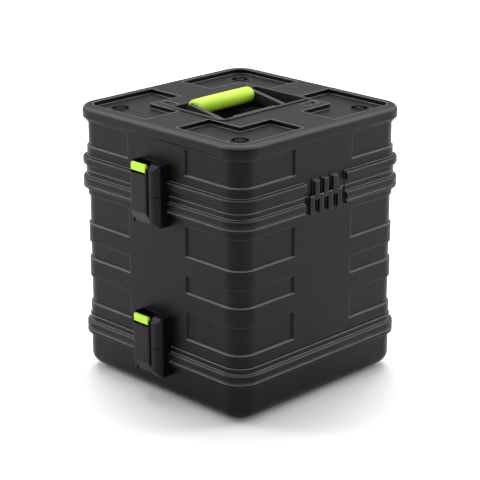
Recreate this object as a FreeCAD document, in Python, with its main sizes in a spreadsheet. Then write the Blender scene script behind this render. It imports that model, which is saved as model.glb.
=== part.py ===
import FreeCAD, Part
import math
import os
import Sketcher

# Travel case for half-width rack receivers: a base tray that carries a tilting rack, a lift-off
# sleeve and a lift-off lid with a storage compartment. Millimetres, +Z up, origin on the floor
# under the middle of the case, front wall towards -Y, latches on the -X and +X walls.

SIZES = {
    # Moulded shells
    "case_width": 330.0,          # left to right over the rim bands
    "case_depth": 330.0,          # front to back over the rim bands
    "base_height": 82.0,          # floor to lower seam
    "sleeve_height": 216.0,       # lower seam to upper seam
    "lid_height": 92.0,           # upper seam to the top of the lid
    "wall": 4.0,                  # moulded wall
    "band_out": 6.0,              # rim bands stand out this far
    "corner_radius": 28.0,        # upright corners of the walls
    "base_band": 28.0,            # heights of the rim bands
    "sleeve_band": 26.0,
    "lid_band": 20.0,
    "band_round": 2.5,            # softened under edges of the bands
    "lip_high": 8.0,              # set-back lip of a rim along its seam
    "lip_in": 4.5,
    "ridge_high": 10.0,           # ridge next to the lip
    "ridge_round": 4.0,
    "groove_high": 3.0,           # groove beyond the ridge of a band
    "groove_deep": 2.5,
    "base_round": 18.0,           # rounded bottom of the base
    "floor_thick": 5.0,
    "gasket_margin": 1.0,         # seal in the top of a rim, in from the inner face
    "gasket_width": 2.0,
    "gasket_deep": 2.0,
    "seat_gap": 0.1,              # fixed pieces lie this far from the sides of their seats
    # Corner panels, sunk into the walls
    "panel_reach": 103.0,         # along each wall from the corner
    "panel_deep": 2.5,
    "panel_gap": 27.0,            # between the panels of the sleeve
    "sleeve_panel_upper": 43.0,
    "sleeve_panel_middle": 25.0,
    "sleeve_panel_lower": 40.0,
    "panel_below_band": 10.0,
    "lid_panel_high": 36.0,
    "lid_panel_above_band": 14.0,
    # Lid top
    "bead_high": 19.0,            # rounded bead along the top edge
    "bead_out": 5.0,
    "bead_round": 8.0,
    "bead_under_round": 4.0,
    "roof": 14.0,                 # thickness of the top
    "cross_core": 88.0,           # half width of the level cross in the lid's top
    "cross_arm": 30.0,            # half width of its arms
    "corner_sink": 7.0,           # L-shaped corner panels below the cross
    "corner_edge": 10.0,          # their edge in from the wall
    "slot_length": 26.0,          # two finger slots in the cross
    "slot_width": 12.0,
    "slot_deep": 3.0,
    "slot_out": 68.0,
    "slot_along": 68.0,
    # Feet and the cups that take them when cases are stacked
    "foot_inset": 42.0,           # foot and cup centres in from the walls
    "foot_height": 5.0,
    "foot_radius": 11.0,
    "foot_taper": 1.5,
    "cup_radius": 15.0,
    "cup_seat": 4.0,
    "cup_proud": 1.0,
    "cup_recess": 12.0,
    "cup_hub": 6.5,
    "cup_slot": 2.4,
    # Badge plate
    "badge_width": 62.0,
    "badge_high": 32.0,
    "badge_thick": 2.0,
    "badge_round": 6.0,
    "badge_rim": 2.5,
    "badge_sink": 0.8,
    "badge_centre": 36.5,
    "badge_screw_gap": 9.0,
    "badge_screw_radius": 3.5,
    "badge_screw_head": 1.8,
    # Latches
    "latch_width": 53.0,
    "latch_clear": 0.5,
    "latch_high": 43.0,           # housing above and catch below the seam
    "latch_split": 0.4,           # half gap between housing and catch
    "latch_plate": 4.0,
    "latch_block": 24.0,          # fixed column stands out of the wall
    "latch_bevel": 7.0,
    "latch_round": 2.5,
    "latch_corner": 11.0,         # outer upright edge of the column
    "latch_ear": 3.0,
    "latch_ear_out": 20.0,
    "lever_bay": 33.0,
    "lever_side_gap": 0.4,
    "lever_out": 26.0,
    "lever_skin": 5.0,
    "lever_head": 13.0,           # depth of the lever's foot
    "lever_low": 41.0,
    "lever_bevel": 8.0,           # slope at the lever's foot
    "lever_bevel_high": 16.0,
    "lever_pivot_out": 14.0,
    "lever_pivot_rise": 32.0,
    "lever_hub": 5.0,
    "pin_radius": 2.0,
    "pin_clear": 0.05,
    "pin_seat": 6.0,
    "catch_bar_drop": 13.0,       # steel bar below the seam
    "catch_bar_radius": 3.0,
    "catch_bar_out": 8.0,
    "claw_clear": 0.5,
    "claw_thick": 5.0,
    "trigger_gap": 0.3,
    "trigger_side": 1.8,
    "trigger_deep": 5.0,          # front to back
    "trigger_in": 5.0,
    "trigger_out": 6.0,
    "trigger_socket": 8.5,
    "trigger_round": 2.0,
    # Comb at the rear that lines the lid up on the sleeve
    "comb_width": 66.0,
    "comb_pitch": 18.0,
    "comb_rib": 8.0,
    "comb_out": 5.0,
    "comb_tongue": 6.0,
    "comb_clear": 0.5,
    # Carry handle in the lid
    "dish_length": 166.0,
    "dish_width": 102.0,
    "dish_deep": 30.0,
    "dish_wall": 2.5,
    "dish_round": 8.0,
    "dish_flange": 3.0,
    "dish_flange_thick": 1.5,
    "dish_screw_radius": 1.4,
    "dish_screw_head": 1.0,
    "handle_pin_radius": 3.0,
    "handle_pin_back": 30.0,
    "handle_pin_drop": 14.0,
    "handle_hub": 7.0,
    "grip_front": 36.0,
    "grip_drop": 3.0,
    "grip_radius": 11.5,
    "grip_length": 112.0,
    "grip_round": 3.0,
    "rod_radius": 6.0,
    "bail_arm": 7.0,
    "spring_cover_length": 80.0,
    "spring_cover_radius": 8.0,
    "spring_cover_groove": 1.5,
    # Lid compartment door
    "frame_wide": 6.0,
    "frame_high": 10.0,
    "door_gap": 1.5,
    "door_rise": 3.0,             # carpet face above the seam
    "carpet_thick": 3.0,
    "board_thick": 6.0,
    "door_leaf_thick": 1.5,
    "door_leaf_length": 40.0,
    "door_leaf_width": 22.0,
    "door_leaf_edge": 0.5,
    "door_hinge_in": 70.0,        # hinge middles in from the side walls
    "door_barrel_radius": 2.5,
    "door_barrel_share": 13.0,
    "door_barrel_gap": 0.3,
    "door_pin_radius": 1.2,
    "twist_in": 16.0,             # twist latch in from the door's edge
    "twist_plate_length": 26.0,
    "twist_plate_width": 34.0,
    "twist_plate_thick": 1.5,
    "twist_plate_round": 8.0,
    "twist_wing_length": 26.0,
    "twist_wing_width": 7.0,
    "twist_wing_high": 6.0,
    "twist_spindle_radius": 5.0,
    "twist_spindle_high": 2.0,
    "twist_keeper_width": 16.0,
    "tab_length": 44.0,
    "tab_width": 22.0,
    "tab_thick": 2.0,
    "tab_in": 36.0,
    "tab_rivet_radius": 5.0,
    "tab_rivet_head": 1.5,
    # Rack
    "rack_deep": 32.0,
    "rack_thick": 7.0,
    "rack_round": 20.0,
    "rack_side_gap": 7.5,         # hoop to the inner faces of the side walls
    "rack_top_gap": 10.0,         # hoop below the upper seam
    "rack_lift": 4.0,             # bottom of the hoop above the lower seam
    "rack_front_gap": 26.0,       # hoop to the inner face of the front wall
    "rack_groove_wide": 4.0,
    "rack_groove_deep": 1.2,
    "rack_groove_edge": 6.0,
    "rack_edge_round": 2.0,
    "rail_gap": 5.1,              # leaves four rack units of 44.45 between the hoop's ends
    "rail_hole_in": 7.15,         # puts the hole columns 266.7 apart
    "rail_hole_radius": 3.5,
    "rail_sink": 12.0,            # rail face behind the hoop's front
    "rail_thick": 2.5,
    "rail_inner": 6.0,            # hole centre to the rail's inner edge
    "rail_flange": 16.0,
    "rail_end": 0.5,              # rail past the four units, each end
    "rivet_radius": 3.0,
    "rivet_head": 1.2,
    # Rack hinge and stays
    "hinge_length": 175.0,
    "hinge_gap": 0.3,
    "hinge_knuckle": 3.0,
    "hinge_pin_radius": 1.5,
    "hinge_leaf": 2.0,
    "hinge_leaf_deep": 24.0,
    "hinge_wall_leaf": 26.0,
    "hinge_back": 2.0,            # hinge axis behind the hoop's front
    "stay_width": 14.0,
    "stay_thick": 2.5,
    "stay_side_gap": 0.5,
    "stay_top": 99.0,             # upper pivot above the hoop's bottom
    "stay_foot_in": 99.0,         # lower pin in from the back wall
    "stay_foot_drop": 8.0,        # lower pin below the seam
    "stay_screw_radius": 3.0,
    "stay_screw_head_radius": 5.0,
    "stay_screw_head": 1.8,
    "stay_screw_in": 6.0,
    "stay_pin_radius": 2.5,
    "stay_pin_clear": 0.5,
    "stay_slot": 12.0,
    "stay_end": 19.0,             # bar past the lower pin, round its slot
    "stay_bracket_length": 40.0,
    "stay_bracket_high": 26.0,
    "stay_bracket_thick": 3.0,
}
RACK_UNITS = 4
HINGE_KNUCKLES = 5

doc = FreeCAD.newDocument("MicrophoneCase")
sheet = doc.addObject("Spreadsheet::Sheet", "Sizes")
for row, (name, value) in enumerate(SIZES.items(), 1):
    sheet.set(f"A{row}", name.replace("_", " "))
    sheet.set(f"B{row}", str(value))
    sheet.setAlias(f"B{row}", name)
doc.recompute()


class Size:
    """A cell of the sheet, or a sum worked out from cells: its expression and its value."""

    def __init__(self, text, value):
        self.text = text
        self.value = value

    def __add__(self, other):
        return Size(f"({self.text} + {text_of(other)})", self.value + number(other))

    def __radd__(self, other):
        return self + other

    def __sub__(self, other):
        return Size(f"({self.text} - {text_of(other)})", self.value - number(other))

    def __rsub__(self, other):
        return Size(f"({text_of(other)} - {self.text})", number(other) - self.value)

    def __mul__(self, other):
        return Size(f"({self.text} * {text_of(other)})", self.value * number(other))

    def __rmul__(self, other):
        return self * other

    def __truediv__(self, other):
        return Size(f"({self.text} / {text_of(other)})", self.value / number(other))

    def __neg__(self):
        return Size(f"(0 - {self.text})", -self.value)


class Sheet:
    """The cells of the sheet by name."""

    def __getattr__(self, name):
        return Size("Sizes." + name, float(sheet.get(name)))


def number(size):
    return size.value if isinstance(size, Size) else float(size)


def text_of(size):
    return size.text if isinstance(size, Size) else f"({float(size)})"


def root(size):
    return Size(f"sqrt({size.text})", math.sqrt(size.value))


s = Sheet()
ZERO = s.wall * 0

# Faces that several pieces share
half_x = s.case_width / 2
half_y = s.case_depth / 2
wall_x = half_x - s.band_out
wall_y = half_y - s.band_out
inner_x = wall_x - s.wall
inner_y = wall_y - s.wall
low_seam = s.base_height
top_seam = s.base_height + s.sleeve_height
lid_top = top_seam + s.lid_height
corner_floor = lid_top - s.corner_sink
foot_x = wall_x - s.foot_inset
foot_y = wall_y - s.foot_inset

NODES = {}


def keep(label, thing):
    """Name a sub-part and list it for writing."""
    thing.Label = label
    NODES[label] = thing
    return thing


def new_body(label):
    return keep(label, doc.addObject("PartDesign::Body", label))


def place_at(thing, x=0, y=0, z=0, turn=None):
    """Put a sub-part at x, y, z, turned by a FreeCAD rotation."""
    thing.Placement = FreeCAD.Placement(FreeCAD.Vector(), turn or FreeCAD.Rotation())
    for axis, size in (("x", x), ("y", y), ("z", z)):
        thing.setExpression(f"Placement.Base.{axis}", text_of(size))


def arc_between(start, end, radius, turn):
    """The short arc from start to end, counter-clockwise for turn 1 and clockwise for -1."""
    if turn < 0:
        start, end = end, start
    chord = end - start
    rise = math.sqrt(max(radius ** 2 - (chord.Length / 2) ** 2, 0.0))
    side = FreeCAD.Vector(-chord.y, chord.x, 0).normalize()
    centre = (start + end) / 2 + side * rise
    first = math.atan2(start.y - centre.y, start.x - centre.x)
    last = math.atan2(end.y - centre.y, end.x - centre.x)
    if last < first:
        last += 2 * math.pi
    circle = Part.Circle(centre, FreeCAD.Vector(0, 0, 1), radius)
    return Part.ArcOfCircle(circle, first, last)


def add_outline(sketch, corners):
    """Closed outline: a corner is (x, y), or (x, y, radius, turn) where an arc ends there."""
    first = sketch.GeometryCount
    spots = [FreeCAD.Vector(number(c[0]), number(c[1]), 0) for c in corners]
    shapes, tails, heads = [], [], []
    for index, corner in enumerate(corners):
        start, end = spots[index - 1], spots[index]
        clockwise = len(corner) > 2 and corner[3] < 0
        tails.append(2 if clockwise else 1)
        heads.append(1 if clockwise else 2)
        if len(corner) == 2:
            shapes.append(Part.LineSegment(start, end))
        else:
            shapes.append(arc_between(start, end, number(corner[2]), corner[3]))
    sketch.addGeometry(shapes, False)
    rules, sizes = [], []
    for index, corner in enumerate(corners):
        here, after = first + index, first + (index + 1) % len(corners)
        rules.append(Sketcher.Constraint("Coincident", here, heads[index], after, tails[after - first]))
        sizes.append(None)
        spot = spots[index]
        for kind, size, place in (("DistanceX", corner[0], spot.x), ("DistanceY", corner[1], spot.y)):
            rules.append(Sketcher.Constraint(kind, -1, 1, here, heads[index], place))
            sizes.append(size)
        if len(corner) > 2:
            rules.append(Sketcher.Constraint("Radius", here, number(corner[2])))
            sizes.append(corner[2])
    bind_rules(sketch, rules, sizes)


def add_circle(sketch, x, y, radius):
    here = sketch.GeometryCount
    middle = FreeCAD.Vector(number(x), number(y), 0)
    sketch.addGeometry([Part.Circle(middle, FreeCAD.Vector(0, 0, 1), number(radius))], False)
    rules = [Sketcher.Constraint("DistanceX", -1, 1, here, 3, middle.x),
             Sketcher.Constraint("DistanceY", -1, 1, here, 3, middle.y),
             Sketcher.Constraint("Radius", here, number(radius))]
    bind_rules(sketch, rules, [x, y, radius])


def bind_rules(sketch, rules, sizes):
    """Add constraints and tie each one that has a size to the sheet."""
    first = sketch.ConstraintCount
    sketch.addConstraint(rules)
    for index, size in enumerate(sizes):
        if isinstance(size, Size):
            sketch.setExpression(f"Constraints[{first + index}]", size.text)


def draw(body, plane, at, *outlines):
    """Sketch on the XY, XZ or YZ plane moved to a height: lists are outlines, tuples are circles."""
    sketch = body.newObject("Sketcher::SketchObject", body.Name + "_sketch")
    origin = next(f for f in body.Origin.OriginFeatures if f.Role == plane + "_Plane")
    sketch.AttachmentSupport = (origin, [""])
    sketch.MapMode = "FlatFace"
    offset = -at if plane == "XZ" else at
    sketch.setExpression("AttachmentOffset.Base.z", text_of(offset))
    for outline in outlines:
        if isinstance(outline, tuple):
            add_circle(sketch, *outline)
        else:
            add_outline(sketch, outline)
    return sketch


def pad(body, sketch, length, flip=False):
    """Add material along the sketch's normal: +Z for XY, -Y for XZ, +X for YZ."""
    feature = body.newObject("PartDesign::Pad", body.Name + "_pad")
    feature.Profile = sketch
    feature.setExpression("Length", text_of(length))
    feature.Reversed = flip
    doc.recompute()
    return feature


def pocket(body, sketch, length, flip=False):
    """Cut against the sketch's normal: -Z for XY, +Y for XZ, -X for YZ."""
    before = body.Tip.Shape.Volume
    feature = body.newObject("PartDesign::Pocket", body.Name + "_pocket")
    feature.Profile = sketch
    feature.setExpression("Length", text_of(length))
    feature.Reversed = flip
    doc.recompute()
    if not feature.Shape.Volume < before - 1e-6:
        raise ValueError(f"{feature.Name} cuts nothing")
    return feature


def soften(body, radius, wanted, kind="Fillet"):
    """Fillet or chamfer the edges of the body that the test picks."""
    base = body.Tip
    edges = [f"Edge{i}" for i, edge in enumerate(base.Shape.Edges, 1) if wanted(edge)]
    if not edges:
        raise ValueError(f"no edge to soften on {body.Name}")
    feature = body.newObject("PartDesign::" + kind, body.Name + "_" + kind.lower())
    feature.Base = (base, edges)
    feature.setExpression("Radius" if kind == "Fillet" else "Size", text_of(radius))
    doc.recompute()
    return feature


def middle(edge):
    return edge.valueAt((edge.FirstParameter + edge.LastParameter) / 2)


def near(place, size):
    return abs(place - number(size)) < 0.01


def upright(edge):
    return abs(edge.Vertexes[0].Z - edge.Vertexes[-1].Z) > 0.5 * edge.Length


def on_plan(height, half_wide, half_deep, radius):
    """Test for edges at a height that lie on a rounded rectangle seen from above."""
    def test(edge):
        spot = middle(edge)
        out_x = abs(spot.x) - number(half_wide) + number(radius)
        out_y = abs(spot.y) - number(half_deep) + number(radius)
        reach = math.hypot(max(out_x, 0), max(out_y, 0)) + min(max(out_x, out_y), 0)
        return near(spot.z, height) and near(reach, radius)
    return test


def rounded(half_wide, half_deep, radius, x=ZERO, y=ZERO):
    """Rectangle with rounded corners about x, y."""
    right, left, back, front = x + half_wide, x - half_wide, y + half_deep, y - half_deep
    return [(right - radius, front), (right, front + radius, radius, 1),
            (right, back - radius), (right - radius, back, radius, 1),
            (left + radius, back), (left, back - radius, radius, 1),
            (left, front + radius), (left + radius, front, radius, 1)]


def rect(x_first, y_first, x_last, y_last):
    return [(x_first, y_first), (x_last, y_first), (x_last, y_last), (x_first, y_last)]


def plan(grow):
    """Outline of the case walls seen from above, grown outwards."""
    return rounded(wall_x + grow, wall_y + grow, s.corner_radius + grow)


def plan_edges(height, grow):
    return on_plan(height, wall_x + grow, wall_y + grow, s.corner_radius + grow)


def cylinder(label, axis, radius, length, x, y, z):
    """Round bar from x, y, z along a positive axis."""
    thing = doc.addObject("Part::Cylinder", label)
    thing.setExpression("Radius", text_of(radius))
    thing.setExpression("Height", text_of(length))
    turns = {"X": FreeCAD.Rotation(FreeCAD.Vector(0, 1, 0), 90),
             "Y": FreeCAD.Rotation(FreeCAD.Vector(1, 0, 0), -90),
             "Z": FreeCAD.Rotation()}
    place_at(thing, x, y, z, turns[axis])
    return thing


def group(label, things):
    """Like pieces that share one name, as separate solids."""
    compound = doc.addObject("Part::Compound", label)
    compound.Links = things
    doc.recompute()
    return keep(label, compound)


def mirrored(label, source, normal):
    """Copy of a piece on the other side of the case."""
    copy = doc.addObject("Part::Mirroring", label)
    copy.Source = source
    copy.Normal = normal
    return copy


def at_four_corners(label, source):
    """A piece and its copies at the other three corners, as one group."""
    NODES.pop(source.Label, None)
    across = mirrored(label + "_across", source, FreeCAD.Vector(1, 0, 0))
    pair = doc.addObject("Part::Compound", label + "_pair")
    pair.Links = [source, across]
    back = mirrored(label + "_back", pair, FreeCAD.Vector(0, 1, 0))
    return group(label, [pair, back])


# Features that the three shells share

def cut_groove(body, top, grow):
    """Groove round a rim band, below a height."""
    ring = draw(body, "XY", top, plan(grow + s.groove_deep), plan(grow - s.groove_deep))
    pocket(body, ring, s.groove_high)


def cut_lip(body, top, ridge, radius):
    """Set the lip of a rim back, below a height, and round the edge of the ridge beside it."""
    ring = draw(body, "XY", top, plan(s.band_out * 2), plan(s.band_out - s.lip_in))
    pocket(body, ring, s.lip_high)
    soften(body, radius, plan_edges(ridge, s.band_out))


def cut_latch_notches(body, top, high):
    """Flats through the rim band where the latches sit on the side walls."""
    reach = s.latch_width / 2 + s.latch_clear
    flats = [rect(side * wall_x, -reach, side * (half_x + s.band_out), reach) for side in (1, -1)]
    pocket(body, draw(body, "XY", top, *flats), high)


def cut_corner_panels(body, top, high):
    """Sunk panels that wrap the four upright corners, below a height."""
    panels = []
    for side, end in ((1, 1), (-1, 1), (-1, -1), (1, -1)):
        sunk_x, sunk_y = side * (wall_x - s.panel_deep), end * (wall_y - s.panel_deep)
        near_x, near_y = side * (wall_x - s.panel_reach), end * (wall_y - s.panel_reach)
        out_x, out_y = side * (wall_x + s.panel_deep), end * (wall_y + s.panel_deep)
        bend_x, bend_y = side * (wall_x - s.corner_radius), end * (wall_y - s.corner_radius)
        panels.append([(near_x, sunk_y), (bend_x, sunk_y),
                       (sunk_x, bend_y, s.corner_radius - s.panel_deep, -side * end),
                       (sunk_x, near_y), (out_x, near_y), (out_x, out_y), (near_x, out_y)])
    pocket(body, draw(body, "XY", top, *panels), high)


def cut_gasket_seat(body, top):
    inside = s.gasket_margin - s.wall
    seat = draw(body, "XY", top, plan(inside + s.gasket_width), plan(inside))
    pocket(body, seat, s.gasket_deep)


def make_gasket(label, top):
    """Rubber seal that fills the seat in the top of a rim."""
    body = new_body(label)
    inside = s.gasket_margin - s.wall + s.seat_gap
    outside = inside + s.gasket_width - s.seat_gap * 2
    pad(body, draw(body, "XY", top - s.gasket_deep, plan(outside), plan(inside)), s.gasket_deep)


# Base tray

def make_base_tray():
    body = new_body("base_tray")
    pad(body, draw(body, "XY", s.foot_height, plan(ZERO)), s.base_height - s.foot_height)
    hollow = draw(body, "XY", low_seam, plan(-s.wall))
    pocket(body, hollow, s.base_height - s.foot_height - s.floor_thick)
    soften(body, s.base_round - s.wall, plan_edges(s.foot_height + s.floor_thick, -s.wall))
    soften(body, s.base_round, plan_edges(s.foot_height, ZERO))
    pad(body, draw(body, "XY", low_seam - s.base_band, plan(s.band_out), plan(-s.wall)), s.base_band)
    soften(body, s.band_round, plan_edges(low_seam - s.base_band, s.band_out))
    cut_lip(body, low_seam, low_seam - s.lip_high, s.ridge_round)
    cut_groove(body, low_seam - s.lip_high - s.ridge_high, s.band_out)
    cut_latch_notches(body, low_seam, s.base_band)
    cut_gasket_seat(body, low_seam)


def make_feet():
    foot = doc.addObject("Part::Cone", "foot")
    foot.setExpression("Radius1", text_of(s.foot_radius - s.foot_taper))
    foot.setExpression("Radius2", text_of(s.foot_radius))
    foot.setExpression("Height", text_of(s.foot_height))
    place_at(foot, foot_x, foot_y, 0)
    at_four_corners("base_feet", foot)


def make_badge():
    """Bare plate on the front wall, with a raised rim and a screw at each side."""
    body = new_body("badge_plate")
    plate = rounded(s.badge_width / 2, s.badge_high / 2, s.badge_round, ZERO, s.badge_centre)
    pad(body, draw(body, "XZ", -wall_y, plate), s.badge_thick)
    panel = rounded(s.badge_width / 2 - s.badge_rim, s.badge_high / 2 - s.badge_rim,
                    s.badge_round - s.badge_rim, ZERO, s.badge_centre)
    pocket(body, draw(body, "XZ", -wall_y - s.badge_thick, panel), s.badge_sink)
    reach = s.badge_width / 2 + s.badge_screw_gap
    heads = [cylinder("badge_screw", "Y", s.badge_screw_radius, s.badge_screw_head,
                      side * reach, -wall_y - s.badge_screw_head, s.badge_centre) for side in (-1, 1)]
    group("badge_screws", heads)


# Sleeve

def make_sleeve_shell():
    body = new_body("sleeve_shell")
    pad(body, draw(body, "XY", low_seam, plan(ZERO), plan(-s.wall)), s.sleeve_height)
    band = draw(body, "XY", top_seam - s.sleeve_band, plan(s.band_out), plan(-s.wall))
    pad(body, band, s.sleeve_band)
    soften(body, s.band_round, plan_edges(top_seam - s.sleeve_band, s.band_out))
    cut_lip(body, top_seam, top_seam - s.lip_high, s.ridge_round)
    cut_groove(body, top_seam - s.lip_high - s.ridge_high, s.band_out)
    cut_latch_notches(body, top_seam, s.sleeve_band)
    top = top_seam - s.sleeve_band - s.panel_below_band
    for high in (s.sleeve_panel_upper, s.sleeve_panel_middle, s.sleeve_panel_lower):
        cut_corner_panels(body, top, high)
        top = top - high - s.panel_gap
    cut_comb_notch(body, top_seam, s.sleeve_band)
    ribs = [comb_rib(step, ZERO) for step in (-1.5, -0.5, 0.5, 1.5)]
    pad(body, draw(body, "XY", top_seam - s.sleeve_band, *ribs), s.sleeve_band)
    cut_gasket_seat(body, top_seam)


def cut_comb_notch(body, top, high):
    half = s.comb_width / 2 + s.comb_rib
    notch = rect(-half, wall_y, half, half_y + s.band_out)
    pocket(body, draw(body, "XY", top, notch), high)


def comb_rib(step, clear):
    """Rib of the rear comb, some steps of its pitch from the middle, a clearance off the wall."""
    centre, half = s.comb_pitch * step, s.comb_rib / 2
    return rect(centre - half, wall_y + clear, centre + half, wall_y + s.comb_out)


# Lid

def make_lid_shell():
    body = new_body("lid_shell")
    pad(body, draw(body, "XY", top_seam, plan(ZERO)), s.lid_height)
    pad(body, draw(body, "XY", lid_top - s.bead_high, plan(s.bead_out)), s.bead_high)
    soften(body, s.bead_round, plan_edges(lid_top, s.bead_out))
    soften(body, s.bead_under_round, plan_edges(lid_top - s.bead_high, s.bead_out))
    pad(body, draw(body, "XY", top_seam, plan(s.band_out)), s.lid_band)
    soften(body, s.ridge_round, plan_edges(top_seam + s.lid_band, s.band_out))
    pocket(body, draw(body, "XY", top_seam, plan(-s.wall)), s.lid_height - s.roof, flip=True)
    cut_lip(body, top_seam + s.lip_high, top_seam + s.lip_high, s.band_round)
    cut_latch_notches(body, top_seam + s.lid_band, s.lid_band)
    panel_top = top_seam + s.lid_band + s.lid_panel_above_band + s.lid_panel_high
    cut_corner_panels(body, panel_top, s.lid_panel_high)
    shape_lid_top(body)
    cut_comb_notch(body, top_seam + s.lid_band, s.lid_band)
    ribs = [comb_rib(step, ZERO) for step in (-1, 0, 1)]
    pad(body, draw(body, "XY", top_seam, *ribs), s.lid_band)
    tongues = [comb_rib(step, s.comb_clear) for step in (-1, 0, 1)]
    pad(body, draw(body, "XY", top_seam - s.comb_tongue, *tongues), s.comb_tongue)


def shape_lid_top(body):
    """Sunk L-shaped corners that leave a cross, cup seats, finger slots and the handle's opening."""
    edge_x, edge_y = wall_x - s.corner_edge, wall_y - s.corner_edge
    arm, core = s.cross_arm, s.cross_core
    bend = s.corner_radius - s.corner_edge
    corners = []
    for side, end in ((1, 1), (-1, 1), (-1, -1), (1, -1)):
        corners.append([(side * arm, end * edge_y), (side * arm, end * core), (side * core, end * core),
                        (side * core, end * arm), (side * edge_x, end * arm),
                        (side * edge_x, end * (edge_y - bend)),
                        (side * (edge_x - bend), end * edge_y, bend, side * end)])
    pocket(body, draw(body, "XY", lid_top, *corners), s.corner_sink)
    seat = s.cup_radius + s.seat_gap
    seats = [(side * foot_x, end * foot_y, seat) for side in (-1, 1) for end in (-1, 1)]
    pocket(body, draw(body, "XY", corner_floor, *seats), s.cup_seat)
    long_half, short_half = s.slot_length / 2, s.slot_width / 2
    slots = [rect(s.slot_out - short_half, -s.slot_along - long_half, s.slot_out + short_half,
                  -s.slot_along + long_half),
             rect(-s.slot_along - long_half, s.slot_out - short_half, -s.slot_along + long_half,
                  s.slot_out + short_half)]
    pocket(body, draw(body, "XY", lid_top, *slots), s.slot_deep)
    opening = rounded(s.dish_length / 2 + s.seat_gap, s.dish_width / 2 + s.seat_gap, s.dish_round)
    pocket(body, draw(body, "XY", lid_top, opening), s.roof)


def make_cups():
    """Round cups in the lid's corners with a slotted hub, one under each foot of the case above."""
    body = new_body("cup")
    disc = draw(body, "XY", corner_floor - s.cup_seat, (foot_x, foot_y, s.cup_radius))
    pad(body, disc, s.cup_seat + s.cup_proud)
    top = corner_floor + s.cup_proud
    well = draw(body, "XY", top, (foot_x, foot_y, s.cup_recess), (foot_x, foot_y, s.cup_hub))
    pocket(body, well, s.cup_seat)
    half, reach = s.cup_slot / 2, s.cup_hub
    left, right, front, back = foot_x - half, foot_x + half, foot_y - half, foot_y + half
    cross = [(left, foot_y - reach), (right, foot_y - reach), (right, front), (foot_x + reach, front),
             (foot_x + reach, back), (right, back), (right, foot_y + reach), (left, foot_y + reach),
             (left, back), (foot_x - reach, back), (foot_x - reach, front), (left, front)]
    pocket(body, draw(body, "XY", top, cross), s.cup_proud * 2)
    at_four_corners("stacking_cups", body)


# Carry handle: the pin runs left to right, the bail folds to the front

handle_pin_z = lid_top - s.handle_pin_drop
grip_z = lid_top - s.grip_drop


def make_handle_dish():
    body = new_body("handle_dish")
    half_length, half_width = s.dish_length / 2, s.dish_width / 2
    bowl = draw(body, "XY", lid_top - s.dish_deep, rounded(half_length, half_width, s.dish_round))
    pad(body, bowl, s.dish_deep)
    rim = s.dish_flange
    flange = rounded(half_length + rim, half_width + rim, s.dish_round + rim)
    pad(body, draw(body, "XY", lid_top, flange), s.dish_flange_thick)
    hollow = rounded(half_length - s.dish_wall, half_width - s.dish_wall, s.dish_round - s.dish_wall)
    pocket(body, draw(body, "XY", lid_top + s.dish_flange_thick, hollow),
           s.dish_deep + s.dish_flange_thick - s.dish_wall)
    bore = (s.handle_pin_back, handle_pin_z, s.handle_pin_radius + s.pin_clear)
    pocket(body, draw(body, "YZ", half_length, bore), s.dish_length)
    along, across = half_length - s.dish_round, half_width + rim / 2
    heads = [cylinder("dish_screw", "Z", s.dish_screw_radius, s.dish_screw_head,
                      side * along, end * across, lid_top + s.dish_flange_thick)
             for side in (-1, 1) for end in (-1, 1)]
    group("dish_screws", heads)


def make_handle():
    """Bail with two flat arms and a rod, the soft grip round the rod, its pin and spring cover."""
    pin_half = s.dish_length / 2 - s.dish_wall / 2
    keep("handle_pin", cylinder("handle_pin", "X", s.handle_pin_radius, pin_half * 2,
                                -pin_half, s.handle_pin_back, handle_pin_z))
    bail = new_body("handle_bail")
    arm_in = s.grip_length / 2
    back, front, hub, end = s.handle_pin_back, -s.grip_front, s.handle_hub, s.rod_radius
    arm = [(front, grip_z + end), (front - end, grip_z, end, 1),
           (front, grip_z - end, end, 1), (back, handle_pin_z - hub), (back + hub, handle_pin_z, hub, 1),
           (back, handle_pin_z + hub, hub, 1)]
    pad(bail, draw(bail, "YZ", arm_in, arm), s.bail_arm)
    rod = draw(bail, "YZ", -arm_in - s.bail_arm, (front, grip_z, s.rod_radius))
    pad(bail, rod, (arm_in + s.bail_arm) * 2)
    pad(bail, draw(bail, "YZ", -arm_in - s.bail_arm, arm), s.bail_arm)
    bore = (back, handle_pin_z, s.handle_pin_radius + s.pin_clear)
    pocket(bail, draw(bail, "YZ", arm_in + s.bail_arm, bore), (arm_in + s.bail_arm) * 2)
    grip = new_body("handle_grip")
    tube = draw(grip, "YZ", -arm_in + s.seat_gap, (front, grip_z, s.grip_radius),
                (front, grip_z, s.rod_radius + s.seat_gap))
    pad(grip, tube, (arm_in - s.seat_gap) * 2)
    soften(grip, s.grip_round, lambda edge: near(edge.Curve.Radius, s.grip_radius)
           if isinstance(edge.Curve, Part.Circle) else False)
    make_spring_cover()


def make_spring_cover():
    """Ribbed sleeve round the pin that covers the return spring."""
    body = new_body("handle_spring_cover")
    half = s.spring_cover_length / 2
    back, radius = s.handle_pin_back, s.spring_cover_radius
    bore = (back, handle_pin_z, s.handle_pin_radius + s.pin_clear)
    pad(body, draw(body, "YZ", -half, (back, handle_pin_z, radius), bore), half * 2)
    ribs = 9
    pitch = s.spring_cover_length / ribs
    inside = radius - s.spring_cover_groove
    for index in range(ribs):
        ring = draw(body, "YZ", half - pitch * (index + 0.25), (back, handle_pin_z, radius * 1.2),
                    (back, handle_pin_z, inside))
        pocket(body, ring, pitch / 2)


# Latches, drawn on the +X wall about the seam and turned half a turn for the other wall

latch_left = -s.latch_width / 2
bay_left = latch_left + s.latch_ear
bay_right = bay_left + s.lever_bay
lever_x = wall_x + s.lever_pivot_out
lever_z = s.lever_pivot_rise
lever_top = lever_z + s.lever_hub
lever_front = wall_x + s.lever_out
lever_back = lever_front - s.lever_head
catch_x = wall_x + s.catch_bar_out
catch_z = -s.catch_bar_drop


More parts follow.
